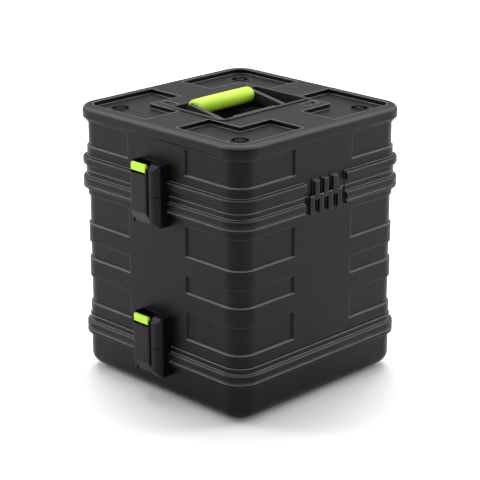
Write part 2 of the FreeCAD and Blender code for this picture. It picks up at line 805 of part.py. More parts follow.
def seat_latch_piece(body, side, seam):
    place_at(body, 0, 0, seam, FreeCAD.Rotation(FreeCAD.Vector(0, 0, 1), 0 if side > 0 else 180))


def latch_plan():
    """Back plate, ear and fixed column with the lever's bay between them, seen from above."""
    plate, block, ear = wall_x + s.latch_plate, wall_x + s.latch_block, wall_x + s.latch_ear_out
    return [(wall_x, latch_left), (ear, latch_left), (ear, bay_left), (plate, bay_left),
            (plate, bay_right), (block, bay_right), (block, s.latch_width / 2), (wall_x, s.latch_width / 2)]


def finish_latch_block(body, end):
    """Bevel the free end of the fixed column and round its two front corners."""
    block = wall_x + s.latch_block
    soften(body, s.latch_bevel, lambda e: near(middle(e).x, block) and near(middle(e).z, end), "Chamfer")
    outer = s.latch_width / 2
    soften(body, s.latch_corner,
           lambda e: near(middle(e).x, block) and upright(e) and near(middle(e).y, outer))
    soften(body, s.latch_round,
           lambda e: near(middle(e).x, block) and upright(e) and near(middle(e).y, bay_right))


def bore_across(body, x, z, radius):
    """Hole across the lever's bay, through the ear and into the fixed column."""
    bore = draw(body, "XZ", latch_left, (x, z, radius + s.pin_clear))
    pocket(body, bore, s.latch_ear + s.lever_bay + s.pin_seat)


def make_latch_housing(label, side, seam):
    """Upper half, that carries the lever."""
    body = new_body(label)
    pad(body, draw(body, "XY", s.latch_split, latch_plan()), s.latch_high - s.latch_split)
    finish_latch_block(body, s.latch_high)
    bore_across(body, lever_x, lever_z, s.pin_radius)
    seat_latch_piece(body, side, seam)


def make_latch_catch(label, side, seam):
    """Lower half, that carries the bar for the lever's claw."""
    body = new_body(label)
    pad(body, draw(body, "XY", -s.latch_high, latch_plan()), s.latch_high - s.latch_split)
    finish_latch_block(body, -s.latch_high)
    bore_across(body, catch_x, catch_z, s.catch_bar_radius)
    seat_latch_piece(body, side, seam)


def make_latch_lever(label, side, seam):
    """Lever with a hub at the top and a claw under the catch bar, drawn unhooked from it."""
    body = new_body(label)
    inside = lever_front - s.lever_skin
    claw_top = catch_z - s.catch_bar_radius - s.claw_clear
    claw_low = claw_top - s.claw_thick
    claw_tip = catch_x + s.catch_bar_radius + s.claw_clear
    hub = s.lever_hub
    profile = [(lever_front, -s.lever_low + s.lever_bevel_high), (lever_front, lever_top),
               (lever_x, lever_top), (lever_x - hub, lever_z, hub, 1), (lever_x, lever_z - hub, hub, 1),
               (inside, lever_z - hub), (inside, claw_top), (claw_tip, claw_top), (claw_tip, claw_low),
               (lever_back, claw_low), (lever_back, -s.lever_low),
               (lever_front - s.lever_bevel, -s.lever_low)]
    width = s.lever_bay - s.lever_side_gap * 2
    pad(body, draw(body, "XZ", bay_right - s.lever_side_gap, profile), width)
    soften(body, s.latch_round, lambda e: near(middle(e).x, lever_front) and upright(e))
    bore = draw(body, "XZ", bay_left, (lever_x, lever_z, s.pin_radius + s.pin_clear))
    pocket(body, bore, s.lever_bay)
    socket = trigger_plan(ZERO, lever_front + s.trigger_deep)
    pocket(body, draw(body, "XY", lever_top, socket), s.trigger_socket)
    seat_latch_piece(body, side, seam)


def trigger_plan(gap, front):
    """Trigger's outline in the head of the lever, drawn in by a gap, up to a front face."""
    side = s.lever_side_gap + s.trigger_side + gap
    return rect(lever_front - s.trigger_deep + gap, bay_left + side, front, bay_right - side)


def make_latch_trigger(label, side, seam):
    body = new_body(label)
    outline = trigger_plan(s.trigger_gap, lever_front - s.trigger_gap)
    pad(body, draw(body, "XY", lever_top - s.trigger_in, outline), s.trigger_in + s.trigger_out)
    top = lever_top + s.trigger_out
    soften(body, s.trigger_round, lambda e: near(middle(e).z, top))
    seat_latch_piece(body, side, seam)


def make_cross_bars(label, x, z, radius):
    """Round bar across the lever's bay on each side wall."""
    length = s.latch_ear + s.lever_bay + s.pin_seat
    right = cylinder(label + "_right", "Y", radius, length, x, latch_left, z)
    left = cylinder(label + "_left", "Y", radius, length, -x, -latch_left - length, z)
    group(label, [right, left])


def make_latches():
    for tier, seam, lower, upper in (("lower", low_seam, "base", "sleeve_foot"),
                                     ("upper", top_seam, "sleeve", "lid")):
        for hand, side in (("right", 1), ("left", -1)):
            make_latch_housing(f"{upper}_latch_housing_{hand}", side, seam)
            make_latch_catch(f"{lower}_latch_catch_{hand}", side, seam)
            make_latch_lever(f"{tier}_latch_lever_{hand}", side, seam)
            make_latch_trigger(f"{tier}_latch_trigger_{hand}", side, seam)
        make_cross_bars(f"{tier}_latch_pins", lever_x, seam + lever_z, s.pin_radius)
        make_cross_bars(f"{tier}_catch_bars", catch_x, seam + catch_z, s.catch_bar_radius)


# Lid compartment: frame in the lid's mouth and a door hinged on the +X side

door_face = top_seam + s.door_rise
board_low = door_face + s.carpet_thick
frame_in = s.wall + s.frame_wide
door_in = frame_in + s.door_gap
door_edge_x = wall_x - door_in
door_axis_x = door_edge_x + s.door_gap / 2
leaf_low = door_face - s.door_leaf_thick
door_axis_z = door_face - s.door_barrel_radius - s.seat_gap


def make_door():
    frame = new_body("door_frame")
    pad(frame, draw(frame, "XY", door_face, plan(-s.wall - s.seat_gap), plan(-frame_in)), s.frame_high)
    board = new_body("door_board")
    pad(board, draw(board, "XY", board_low, plan(-door_in)), s.board_thick)
    carpet = new_body("door_carpet")
    pad(carpet, draw(carpet, "XY", door_face, plan(-door_in)), s.carpet_thick)
    make_door_hinges()
    make_twist_latch()
    make_pull_tab()


def make_door_hinges():
    """Two butt hinges on the lower face: a leaf on the frame, a leaf on the door and a pin each."""
    fixed_leaves, door_leaves, pins = [], [], []
    for end in (-1, 1):
        centre = (inner_y - s.door_hinge_in) * end
        fixed = make_hinge_leaf("frame_hinge_leaf", centre, door_axis_x + s.door_leaf_edge,
                                wall_x - s.wall - s.door_leaf_edge, (0,))
        moving = make_hinge_leaf("door_hinge_leaf", centre, door_axis_x - s.door_leaf_width,
                                 door_axis_x - s.door_leaf_edge, (-1, 1))
        fixed_leaves.append(fixed)
        door_leaves.append(moving)
        pins.append(cylinder("door_hinge_pin", "Y", s.door_pin_radius, s.door_leaf_length, door_axis_x,
                             centre - s.door_leaf_length / 2, door_axis_z))
    group("frame_hinge_leaves", fixed_leaves)
    group("door_hinge_leaves", door_leaves)
    group("door_hinge_pins", pins)


def make_hinge_leaf(label, centre, x_low, x_high, shares):
    """Flat leaf with one or two stretches of barrel, counted from the middle of the hinge."""
    body = doc.addObject("PartDesign::Body", label)
    half = s.door_leaf_length / 2
    leaf = draw(body, "XY", leaf_low, rect(x_low, centre - half, x_high, centre + half))
    pad(body, leaf, s.door_leaf_thick)
    span = s.door_barrel_share - s.door_barrel_gap
    for share in shares:
        start = centre + s.door_barrel_share * share + span / 2
        barrel = draw(body, "XZ", start, (door_axis_x, door_axis_z, s.door_barrel_radius))
        pad(body, barrel, span)
    room = s.door_barrel_share + s.door_barrel_gap
    for share in (-1, 0, 1):
        if share not in shares:
            start = centre + s.door_barrel_share * share + room / 2
            hollow = (door_axis_x, door_axis_z, s.door_barrel_radius + s.door_barrel_gap)
            pocket(body, draw(body, "XZ", start, hollow), room, flip=True)
    bore = (door_axis_x, door_axis_z, s.door_pin_radius + s.pin_clear)
    pocket(body, draw(body, "XZ", centre - half, bore), s.door_leaf_length)
    return body


twist_x = -door_edge_x + s.twist_in


def make_twist_latch():
    """Butterfly latch near the door's free edge, with a keeper on the frame."""
    plate = new_body("twist_latch_plate")
    outline = rounded(s.twist_plate_length / 2, s.twist_plate_width / 2, s.twist_plate_round, twist_x)
    pad(plate, draw(plate, "XY", door_face - s.twist_plate_thick, outline), s.twist_plate_thick)
    wing = new_body("twist_latch_wing")
    low = door_face - s.twist_plate_thick - s.twist_spindle_high - s.seat_gap
    pad(wing, draw(wing, "XY", low, (twist_x, ZERO, s.twist_spindle_radius)), s.twist_spindle_high)
    blade = rounded(s.twist_wing_width / 2, s.twist_wing_length / 2, s.twist_wing_width / 2.5, twist_x)
    pad(wing, draw(wing, "XY", low - s.twist_wing_high, blade), s.twist_wing_high)
    soften(wing, s.twist_wing_width / 5, lambda e: near(middle(e).z, low - s.twist_wing_high))
    keeper = new_body("twist_latch_keeper")
    strip = rect(-wall_x + s.wall + s.door_leaf_edge, -s.twist_keeper_width / 2,
                 -wall_x + frame_in - s.door_leaf_edge, s.twist_keeper_width / 2)
    pad(keeper, draw(keeper, "XY", leaf_low, strip), s.door_leaf_thick)


def make_pull_tab():
    """Strap that opens the door, held by one rivet near its front free corner."""
    tab = new_body("pull_tab")
    tab_x, tab_y = -wall_x + door_in + s.tab_in, -wall_y + door_in + s.tab_in
    outline = rounded(s.tab_length / 2, s.tab_width / 2, s.tab_width / 2.5, tab_x, tab_y)
    pad(tab, draw(tab, "XY", door_face - s.tab_thick, outline), s.tab_thick)
    head_low = door_face - s.tab_thick - s.tab_rivet_head
    keep("pull_tab_rivet", cylinder("pull_tab_rivet", "Z", s.tab_rivet_radius, s.tab_rivet_head,
                                    tab_x + s.tab_length / 4, tab_y, head_low))


# Rack

rack_low = low_seam + s.rack_lift
rack_front = -inner_y + s.rack_front_gap
rack_back = rack_front + s.rack_deep
rack_height = top_seam - s.rack_top_gap - rack_low
rack_mid_z = rack_low + rack_height / 2
rack_half = inner_x - s.rack_side_gap
unit_pitch = (rack_height - (s.rack_thick + s.rail_gap) * 2) / RACK_UNITS
hole_pitch = unit_pitch * 5 / 14
hole_half = rack_half - s.rack_thick - s.rail_hole_in
rail_face = rack_front + s.rail_sink


def hoop(grow):
    """Outline of the rack hoop seen from the front, grown outwards."""
    return rounded(rack_half + grow, rack_height / 2 + grow, s.rack_round + grow, ZERO, rack_mid_z)


def make_rack_frame():
    """Hoop bent from a ridged aluminium extrusion: grooves run round its rim and its front."""
    body = new_body("rack_frame")
    pad(body, draw(body, "XZ", rack_back, hoop(ZERO), hoop(-s.rack_thick)), s.rack_deep)
    soften(body, s.rack_edge_round, lambda e: near(middle(e).y, rack_front))
    for start in (rack_front + s.rack_groove_edge, rack_back - s.rack_groove_edge - s.rack_groove_wide):
        ring = draw(body, "XZ", start, hoop(s.rack_groove_deep), hoop(-s.rack_groove_deep))
        pocket(body, ring, s.rack_groove_wide)


def make_rails():
    """Angle rails inside the hoop, punched with three holes in each rack unit."""
    low = rack_mid_z - unit_pitch * RACK_UNITS / 2
    bend = s.rack_round - s.rack_thick
    straight = rack_height / 2 - s.rack_thick - bend
    reach = unit_pitch * RACK_UNITS / 2 + s.rail_end
    fit = bend - s.seat_gap
    tuck = fit - root(fit * fit - (reach - straight) * (reach - straight))
    for hand, side in (("left", -1), ("right", 1)):
        body = new_body("rail_" + hand)
        hole_x, outer_x = side * hole_half, side * (rack_half - s.rack_thick - s.seat_gap)
        inner_edge = side * (hole_half - s.rail_inner)
        tucked_x = outer_x - side * tuck
        strip = [(inner_edge, rack_mid_z - reach), (tucked_x, rack_mid_z - reach),
                 (outer_x, rack_mid_z - straight, fit, side), (outer_x, rack_mid_z + straight),
                 (tucked_x, rack_mid_z + reach, fit, side), (inner_edge, rack_mid_z + reach)]
        pad(body, draw(body, "XZ", rail_face + s.rail_thick, strip), s.rail_thick)
        flange = rect(outer_x - side * s.rail_thick, rack_mid_z - straight, outer_x, rack_mid_z + straight)
        pad(body, draw(body, "XZ", rail_face + s.rail_flange, flange), s.rail_flange)
        holes = []
        for unit in range(RACK_UNITS):
            centre = low + unit_pitch * (unit + 0.5)
            holes += [(hole_x, centre + hole_pitch * step, s.rail_hole_radius) for step in (-1, 0, 1)]
        pocket(body, draw(body, "XZ", rail_face, *holes), s.rail_flange)


hinge_y = rack_front + s.hinge_back
hinge_z = rack_low - s.hinge_leaf - s.hinge_knuckle / 2


def make_rack_hinge():
    """Long hinge under the front of the hoop: wall leaf on the tray, rack leaf on the hoop, one pin."""
    half = s.hinge_length / 2
    share = s.hinge_length / HINGE_KNUCKLES
    fixed = new_body("rack_hinge_wall_leaf")
    shelf_low = hinge_z - s.hinge_leaf / 2
    leaf_foot, leaf_face = shelf_low - s.hinge_wall_leaf, -inner_y + s.hinge_leaf
    profile = [(-inner_y, shelf_low + s.hinge_leaf), (-inner_y, leaf_foot), (leaf_face, leaf_foot),
               (leaf_face, shelf_low), (hinge_y, shelf_low), (hinge_y, shelf_low + s.hinge_leaf)]
    pad(fixed, draw(fixed, "YZ", -half, profile), s.hinge_length)
    add_knuckles(fixed, (0, 2, 4), (1, 3), share, half)
    moving = new_body("rack_hinge_leaf")
    plate = rect(hinge_y - s.hinge_back / 2, rack_low - s.hinge_leaf, hinge_y + s.hinge_leaf_deep, rack_low)
    pad(moving, draw(moving, "YZ", -half, plate), s.hinge_length)
    add_knuckles(moving, (1, 3), (0, 2, 4), share, half)
    keep("rack_hinge_pin", cylinder("rack_hinge_pin", "X", s.hinge_pin_radius, s.hinge_length,
                                    -half, hinge_y, hinge_z))
    heads = [cylinder("hinge_rivet", "Z", s.rivet_radius, s.rivet_head, s.hinge_length * share_at,
                      hinge_y + s.hinge_leaf_deep / 2, rack_low - s.hinge_leaf - s.rivet_head)
             for share_at in (-0.375, -0.125, 0.125, 0.375)]
    group("rack_hinge_rivets", heads)


def add_knuckles(body, own, others, share, half):
    """Barrel stretches of one leaf, room for those of the other leaf, and the pin's bore."""
    for index in own:
        start = -half + share * index + s.hinge_gap / 2
        pad(body, draw(body, "YZ", start, (hinge_y, hinge_z, s.hinge_knuckle)), share - s.hinge_gap)
    for index in others:
        start = -half + share * (index + 1) + s.hinge_gap / 2
        room = draw(body, "YZ", start, (hinge_y, hinge_z, s.hinge_knuckle + s.hinge_gap))
        pocket(body, room, share + s.hinge_gap)
    bore = draw(body, "YZ", half + s.hinge_gap, (hinge_y, hinge_z, s.hinge_pin_radius + s.pin_clear))
    pocket(body, bore, s.hinge_length + s.hinge_gap * 2)


stay_top_y = rack_front + s.rack_deep / 2
stay_top_z = rack_low + s.stay_top
stay_foot_y = inner_y - s.stay_foot_in
stay_foot_z = low_seam - s.stay_foot_drop
stay_in = rack_half + s.stay_side_gap


def make_stays():
    """Flat bars from a screw on each side of the hoop to a slotted foot on a pin at the tray's wall."""
    run = number(stay_foot_y) - number(stay_top_y)
    fall = number(stay_top_z) - number(stay_foot_z)
    length = math.hypot(run, fall)
    tilt = FreeCAD.Rotation(FreeCAD.Vector(1, 0, 0), -math.degrees(math.atan2(fall, run)))
    half = s.stay_width / 2
    for hand, side in (("left", -1), ("right", 1)):
        body = new_body("stay_" + hand)
        foot = length + s.stay_end
        bar = [(foot, -half), (foot, half), (ZERO, half), (-half, ZERO, half, 1), (ZERO, -half, half, 1)]
        slot_radius = s.stay_pin_radius + s.stay_pin_clear
        slot = rect(length - slot_radius, -slot_radius, length + s.stay_slot, slot_radius)
        start = stay_in if side > 0 else -stay_in - s.stay_thick
        pad(body, draw(body, "YZ", start, bar), s.stay_thick)
        eye = (ZERO, ZERO, s.stay_screw_radius + s.pin_clear)
        pocket(body, draw(body, "YZ", start + s.stay_thick, eye, slot), s.stay_thick)
        place_at(body, 0, stay_top_y, stay_top_z, tilt)
        make_stay_fixings(hand, side)


def make_stay_fixings(hand, side):
    """Shouldered screw in the hoop's side, and the wall bracket with its pin for the slotted foot."""
    shank = s.stay_screw_in + s.stay_side_gap + s.stay_thick + s.stay_side_gap
    screw = new_body("stay_screw_" + hand)
    start = (rack_half - s.stay_screw_in) * side
    stem = draw(screw, "YZ", start, (stay_top_y, stay_top_z, s.stay_screw_radius))
    pad(screw, stem, shank, flip=side < 0)
    end = (rack_half - s.stay_screw_in + shank) * side
    head = draw(screw, "YZ", end, (stay_top_y, stay_top_z, s.stay_screw_head_radius))
    pad(screw, head, s.stay_screw_head, flip=side < 0)
    bracket = new_body("stay_bracket_" + hand)
    wall_face = inner_x * side
    half = s.stay_bracket_length / 2
    plate = rect(stay_foot_y - half, low_seam - s.stay_bracket_high, stay_foot_y + half,
                 low_seam - s.gasket_deep)
    pad(bracket, draw(bracket, "YZ", wall_face, plate), s.stay_bracket_thick, flip=side > 0)
    pin_face = (inner_x - s.stay_bracket_thick) * side
    reach = inner_x - s.stay_bracket_thick - stay_in + s.stay_side_gap
    pin = draw(bracket, "YZ", pin_face, (stay_foot_y, stay_foot_z, s.stay_pin_radius))
    pad(bracket, pin, reach, flip=side > 0)


def cut_screw_seats():
    """Holes in the hoop's sides for the stay screws."""
    body = NODES["rack_frame"]
    eye = (stay_top_y, stay_top_z, s.stay_screw_radius + s.pin_clear)
    pocket(body, draw(body, "YZ", rack_half, eye), s.rack_thick)
    pocket(body, draw(body, "YZ", -rack_half, eye), s.rack_thick, flip=True)


def check_and_write():
    """Stop on any failed object or bad shape, then write one file for each sub-part."""
    doc.recompute()
    for thing in doc.Objects:
        if "Invalid" in thing.State or "Error" in thing.State:
            raise RuntimeError(f"{thing.Label} failed: {thing.State}")
    for label, thing in NODES.items():
        shape = thing.Shape
        if shape.isNull() or not shape.isValid() or not shape.Solids:
            raise RuntimeError(f"{label} has no good solid")
    os.makedirs("parts", exist_ok=True)
    for label, thing in NODES.items():
        thing.Shape.exportStep(f"parts/{label}.step")
    print(f"{len(NODES)} sub-parts, {sum(len(t.Shape.Solids) for t in NODES.values())} solids")


make_base_tray()
make_gasket("base_gasket", low_seam)
make_feet()
make_badge()
make_sleeve_shell()
make_gasket("sleeve_gasket", top_seam)
make_lid_shell()
make_cups()
make_handle_dish()
make_handle()
make_latches()
make_door()
make_rack_frame()
make_rails()
make_rack_hinge()
make_stays()
cut_screw_seats()
check_and_write()
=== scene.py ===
import math

import bpy
import numpy as np
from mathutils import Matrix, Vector


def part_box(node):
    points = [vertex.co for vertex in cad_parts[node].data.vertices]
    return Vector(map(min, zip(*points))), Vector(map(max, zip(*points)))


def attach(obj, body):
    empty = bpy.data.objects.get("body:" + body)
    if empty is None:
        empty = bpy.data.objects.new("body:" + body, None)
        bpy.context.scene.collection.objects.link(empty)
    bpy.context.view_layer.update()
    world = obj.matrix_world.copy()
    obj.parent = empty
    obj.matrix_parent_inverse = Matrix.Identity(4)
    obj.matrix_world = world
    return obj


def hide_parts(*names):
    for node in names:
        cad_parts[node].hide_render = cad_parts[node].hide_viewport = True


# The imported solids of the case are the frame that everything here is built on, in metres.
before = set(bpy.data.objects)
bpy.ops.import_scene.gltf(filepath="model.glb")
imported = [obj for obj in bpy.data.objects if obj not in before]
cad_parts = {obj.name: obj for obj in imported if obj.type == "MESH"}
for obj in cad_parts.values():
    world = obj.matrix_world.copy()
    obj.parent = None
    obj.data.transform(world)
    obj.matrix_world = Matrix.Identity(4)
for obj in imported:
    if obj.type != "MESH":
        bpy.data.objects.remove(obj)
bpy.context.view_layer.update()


# Moulded shells: base tray, tall sleeve and lid, rotationally moulded in black polyethylene about
# 4 mm thick. The mould's etched grain gives a fine pebble that scatters the light, and a grey painted
# highlight runs in patches along the up-facing edges of the bands, beads and panels.

def linear(hex_colour):
    """sRGB hex to linear RGBA: c/12.92 below 0.04045, else ((c + 0.055)/1.055) to the power 2.4."""
    parts = [int(hex_colour[i:i + 2], 16) / 255 for i in (1, 3, 5)]
    return [c / 12.92 if c <= 0.04045 else ((c + 0.055) / 1.055) ** 2.4 for c in parts] + [1.0]


def node(tree, kind, inputs=None, **settings):
    """Adds a shader node, sets its properties, and links or sets its inputs by name."""
    made = tree.nodes.new("ShaderNode" + kind)
    for name, value in settings.items():
        setattr(made, name, value)
    for name, value in (inputs or {}).items():
        if isinstance(value, bpy.types.NodeSocket):
            tree.links.new(value, made.inputs[name])
        else:
            made.inputs[name].default_value = value
    return made


def open_material(name, fixed=None):
    """A fresh material with some shader inputs fixed: the material, its tree, its shader and the
    piece's Object coordinates."""
    material = bpy.data.materials.new(name)
    material.use_nodes = True
    tree = material.node_tree
    shader = tree.nodes["Principled BSDF"]
    for socket, value in (fixed or {}).items():
        shader.inputs[socket].default_value = value
    return material, tree, shader, node(tree, "TexCoord").outputs["Object"]


def noise(tree, where, grain, detail, roughness=0.5, distortion=0.0):
    """A noise from 0 to 1 whose largest grain is so many metres across."""
    made = node(tree, "TexNoise", {"Vector": where, "Scale": 1 / grain, "Detail": detail,
                                   "Roughness": roughness, "Distortion": distortion})
    return made.outputs["Fac"]


def ramp(tree, value, start, stop, low=0.0, high=1.0):
    """A value taken from start..stop to low..high, and held at both ends."""
    made = node(tree, "MapRange", {"Value": value, "From Min": start, "From Max": stop,
                                   "To Min": low, "To Max": high})
    return made.outputs["Result"]


def arithmetic(tree, operation, *values):
    """One step of arithmetic on sockets or numbers."""
    return node(tree, "Math", dict(enumerate(values)), operation=operation).outputs["Value"]


def blend(tree, share, first, second):
    """A colour between two linear ones."""
    return node(tree, "MixRGB", {"Fac": share, "Color1": first, "Color2": second}).outputs["Color"]


def paint(tree, shader, share, dark, light):
    """The base colour wanders between two hex tones."""
    tree.links.new(blend(tree, share, linear(dark), linear(light)), shader.inputs["Base Color"])


def roughen(tree, shader, share, smooth, rough):
    """The roughness wanders between two values."""
    tree.links.new(ramp(tree, share, 0.0, 1.0, smooth, rough), shader.inputs["Roughness"])


def rounded(tree, radius, samples):
    """The surface's normal, with its edges rounded over to a radius."""
    return node(tree, "Bevel", {"Radius": radius}, samples=samples).outputs["Normal"]


def emboss(tree, shader, height, strength, depth, normal=None):
    """Relief of a depth in metres, on the surface's own normal or on a rounded one."""
    inputs = {"Height": height, "Strength": strength, "Distance": depth}
    if normal is not None:
        inputs["Normal"] = normal
    tree.links.new(node(tree, "Bump", inputs).outputs["Normal"], shader.inputs["Normal"])


def dress(material, *names):
    """Gives CAD nodes their material."""
    for name in names:
        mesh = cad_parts[name].data
        mesh.materials.clear()
        mesh.materials.append(material)


# Grain of about 2 mm: the real etch is near 0.5 mm, drawn coarser so that it shows at this size.
polyethylene, tree, shader, where = open_material("black_moulded_polyethylene_etched",
                                                  {"Specular IOR Level": 0.15})
grain = noise(tree, where, 0.0021, 3.0, roughness=0.6)
clouds = noise(tree, where, 0.09, 4.0)
patch_noise = noise(tree, where, 0.016, 5.0, roughness=0.65)
soft_normal = rounded(tree, 0.0020, 6)
emboss(tree, shader, grain, 0.22, 0.0006, soft_normal)
tree.links.new(ramp(tree, patch_noise, 0.3, 0.7, 0.33, 0.47), shader.inputs["Roughness"])
# Painted highlight: edges turn light grey where the rounded normal leaves the face's own, most where it
# looks up, as on the ledges; up-facing round shoulders get a weaker one, and noise breaks it into
# patches.
face_normal = node(tree, "NewGeometry").outputs["Normal"]
agree = node(tree, "VectorMath", {0: soft_normal, 1: face_normal}, operation="DOT_PRODUCT")
edge = ramp(tree, agree.outputs["Value"], 0.995, 0.90)
lift = node(tree, "SeparateXYZ", {"Vector": soft_normal}).outputs["Z"]
upper = ramp(tree, lift, 0.05, 0.45, low=0.12)
highlight_patches = ramp(tree, patch_noise, 0.3, 0.7, low=0.80)
slope = ramp(tree, lift, 0.30, 0.60)
below_top = ramp(tree, lift, 0.97, 0.80, high=0.20)
shoulder_highlight = arithmetic(tree, "MULTIPLY", slope, below_top)
highlight_lines = arithmetic(tree, "MAXIMUM", edge, shoulder_highlight)
lit_highlight_lines = arithmetic(tree, "MULTIPLY", highlight_lines, upper)
painted_highlight = arithmetic(tree, "MULTIPLY", lit_highlight_lines, highlight_patches)
tone = blend(tree, clouds, linear("#070708"), linear("#0e0e0f"))
# The painted highlight lightens the near-black tone towards light grey #a2a2a5.
tree.links.new(blend(tree, painted_highlight, tone, linear("#a2a2a5")), shader.inputs["Base Color"])
dress(polyethylene, "base_tray", "sleeve_shell", "lid_shell")


# Rubber: extruded seals in the two rims, four moulded feet screwed to the base, and the ribbed
# cover of the handle's spring. It is dull and slightly dusty, so its gloss breaks up in soft patches.
rubber, tree, shader, where = open_material("black_rubber_dusty")
dust = noise(tree, where, 0.011, 6.0, roughness=0.7)
paint(tree, shader, dust, "#222222", "#383837")
roughen(tree, shader, dust, 0.48, 0.70)
emboss(tree, shader, noise(tree, where, 0.0012, 2.0), 0.15, 0.0003)
dress(rubber, "base_gasket", "sleeve_gasket", "base_feet")


# Badge plate: a bare black plate with a raised rim, set on the front wall of the base between two
# small black pan-head screws. A plain lime bar is let into its sunk panel, moulded with a soft edge
# in the same satin plastic as the latch triggers.

def make_piece(name, corners, faces, material):
    """A new smooth piece from an array of corners and a list of faces, in one material."""
    mesh = bpy.data.meshes.new(name)
    mesh.from_pydata(corners.reshape(-1, 3).tolist(), [], faces)
    mesh.validate()
    mesh.polygons.foreach_set("use_smooth", np.full(len(mesh.polygons), True))
    mesh.materials.append(material)
    made = bpy.data.objects.new(name, mesh)
    bpy.context.scene.collection.objects.link(made)
    return made


def fix(piece, body, slot, *nodes):
    """Hangs a piece on its body and hides the solids that it stands for; slot is not used."""
    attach(piece, body)
    if nodes:
        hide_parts(*nodes)


def middle(low, high):
    """The point half way between two corners of a box."""
    return (np.array(low) + np.array(high)) / 2


def around(turns):
    """Even angles round a circle."""
    return np.linspace(0, 2 * math.pi, turns, endpoint=False)


def closed_faces(rings, turns):
    """Faces of a closed skin: a fan round the first corner, quads from ring to ring, and a fan at
    the last."""
    j = np.arange(turns)
    after, last = (j + 1) % turns, 1 + (rings - 1) * turns
    fans = np.concatenate([np.stack([0 * j, 1 + j, 1 + after], -1),
                           np.stack([last + after, last + j, 0 * j + last + turns], -1)])
    i = 1 + turns * np.arange(rings - 1)[:, None]
    return fans, np.stack([i + j, i + turns + j, i + turns + after, i + after], -1).reshape(-1, 4)


def scatter(name, skin, faces, places, frames, material):
    """Copies of one closed skin: corner = place + skin . frame, whose rows are side, other side
    and out."""
    corners = np.array(places)[:, None, :] + np.einsum("ni,kij->knj", skin, frames)
    start = np.arange(len(places))[:, None, None] * len(skin)
    joined = [(part + start).reshape(-1, part.shape[1]).tolist() for part in faces]
    return make_piece(name, corners, joined[0] + joined[1], material)


def heads(name, places, out, size, material, cross=1.0):
    """Pan or rivet heads of a size (radius R, height H): the crown is H (0.45 + 0.55 sqrt(1 - 0.9
    (r/R)^2)), less a cross recess 0.5 H deep with arms 0.3 R wide and 1.2 R long where cross is 1;
    the rim drops to the seat. Places are the middles of the seats, and out is the way they face."""
    turns, share = 40, np.append(np.linspace(0.06, 1, 15), 1.0)
    a, b = share[:, None] * np.cos(around(turns)), share[:, None] * np.sin(around(turns))
    crown = 0.45 + 0.55 * np.sqrt(1 - 0.9 * share ** 2)
    half_wide, wall_lean, half_long, end_lean = 0.19, 0.06, 0.65, 0.08
    arm, other = (np.clip((half_wide - np.abs(p)) / wall_lean, 0, 1)
                  * np.clip((half_long - np.abs(q)) / end_lean, 0, 1) for p, q in ((a, b), (b, a)))
    rise = crown[:, None] - 0.5 * cross * np.maximum(arm, other)
    rise[-1] = 0.0
    rings = np.stack([a, b, rise], -1).reshape(-1, 3)
    radius, high = size
    skin = np.concatenate([[[0, 0, 1 - 0.5 * cross]], rings, [[0, 0, 0]]]) * (radius, radius, high)
    up = np.array(out, float)
    side = np.cross(up, (0, 0, 1) if abs(up[2]) < 0.5 else (0, 1, 0))
    frames = np.broadcast_to(np.stack([side, np.cross(up, side), up]), (len(places), 3, 3))
    return scatter(name, skin, closed_faces(len(share), turns), places, frames, material)


def superellipse(angle):
    """Points at these angles on |a|^6 + |b|^6 = 1, a square of 2 by 2 with round corners."""
    reach = (np.abs(np.cos(angle)) ** 6 + np.abs(np.sin(angle)) ** 6) ** (-1 / 6)
    return reach * np.cos(angle), reach * np.sin(angle)


def pillow(half_long, half_high, rise, rings=16, turns=120):
    """Skin and faces of a pillow: a superellipse shrunk by each share s stands out by
    h (1 - s^8)^(1/2)."""
    share = np.linspace(0.05, 1, rings)[:, None]
    a, b = (share * side for side in superellipse(around(turns)))
    grid = np.stack([a, b, np.broadcast_to(np.sqrt(1 - share ** 8), a.shape)], -1).reshape(-1, 3)
    skin = np.concatenate([[[0, 0, 1]], grid, [[0, 0, 0]]]) * (half_long, half_high, rise)
    return skin, closed_faces(rings, turns)


lime, tree, shader, where = open_material("lime_plastic_satin_moulded")
flow = noise(tree, where, 0.0018, 2.0)
paint(tree, shader, noise(tree, where, 0.03, 3.0), "#a2da08", "#b6ec1e")
roughen(tree, shader, flow, 0.36, 0.50)
emboss(tree, shader, flow, 0.10, 0.0003, rounded(tree, 0.0008, 4))
dress(lime, "lower_latch_trigger_left", "lower_latch_trigger_right",
      "upper_latch_trigger_left", "upper_latch_trigger_right")

low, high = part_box("badge_plate")
badge_mid = middle(low, high)
bar_half_long, bar_half_high, bar_rise, panel_sunk = 0.0200, 0.0042, 0.0006, 0.0008
facing_front = np.array([[[1, 0, 0], [0, 0, 1], [0, -1, 0]]])
bar = scatter("badge_lime_bar", *pillow(bar_half_long, bar_half_high, bar_rise),
              [(badge_mid[0], low.y + panel_sunk, badge_mid[2])], facing_front, lime)
fix(bar, "base", "lime")

black_coat, tree, shader, where = open_material("black_powder_coated_steel",
                                                {"Specular IOR Level": 0.30})
speck = noise(tree, where, 0.0014, 2.0)
paint(tree, shader, speck, "#1d1d1e", "#2e2e2f")
roughen(tree, shader, speck, 0.40, 0.58)
emboss(tree, shader, speck, 0.18, 0.0003)
dress(black_coat, "handle_bail", "stay_bracket_left", "stay_bracket_right")

low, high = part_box("badge_screws")
screw_radius, screw_z = (high.z - low.z) / 2, (high.z + low.z) / 2
badge_spots = [(side * (high.x - screw_radius), high.y, screw_z) for side in (-1, 1)]
badge_heads = heads("badge_screw_heads", badge_spots, (0, -1, 0),
                    (screw_radius, high.y - low.y), black_coat)
fix(badge_heads, "base", "black_steel", "badge_screws")


# Latches: at each seam a lever hung in a housing above and a catch with a steel bar below, on both
# side walls, injection moulded in black glass-filled nylon. It is smoother than the shells, with a
# faint fibre mottle. The stacking cups and the badge plate match it, and the handle's dish is dustier.

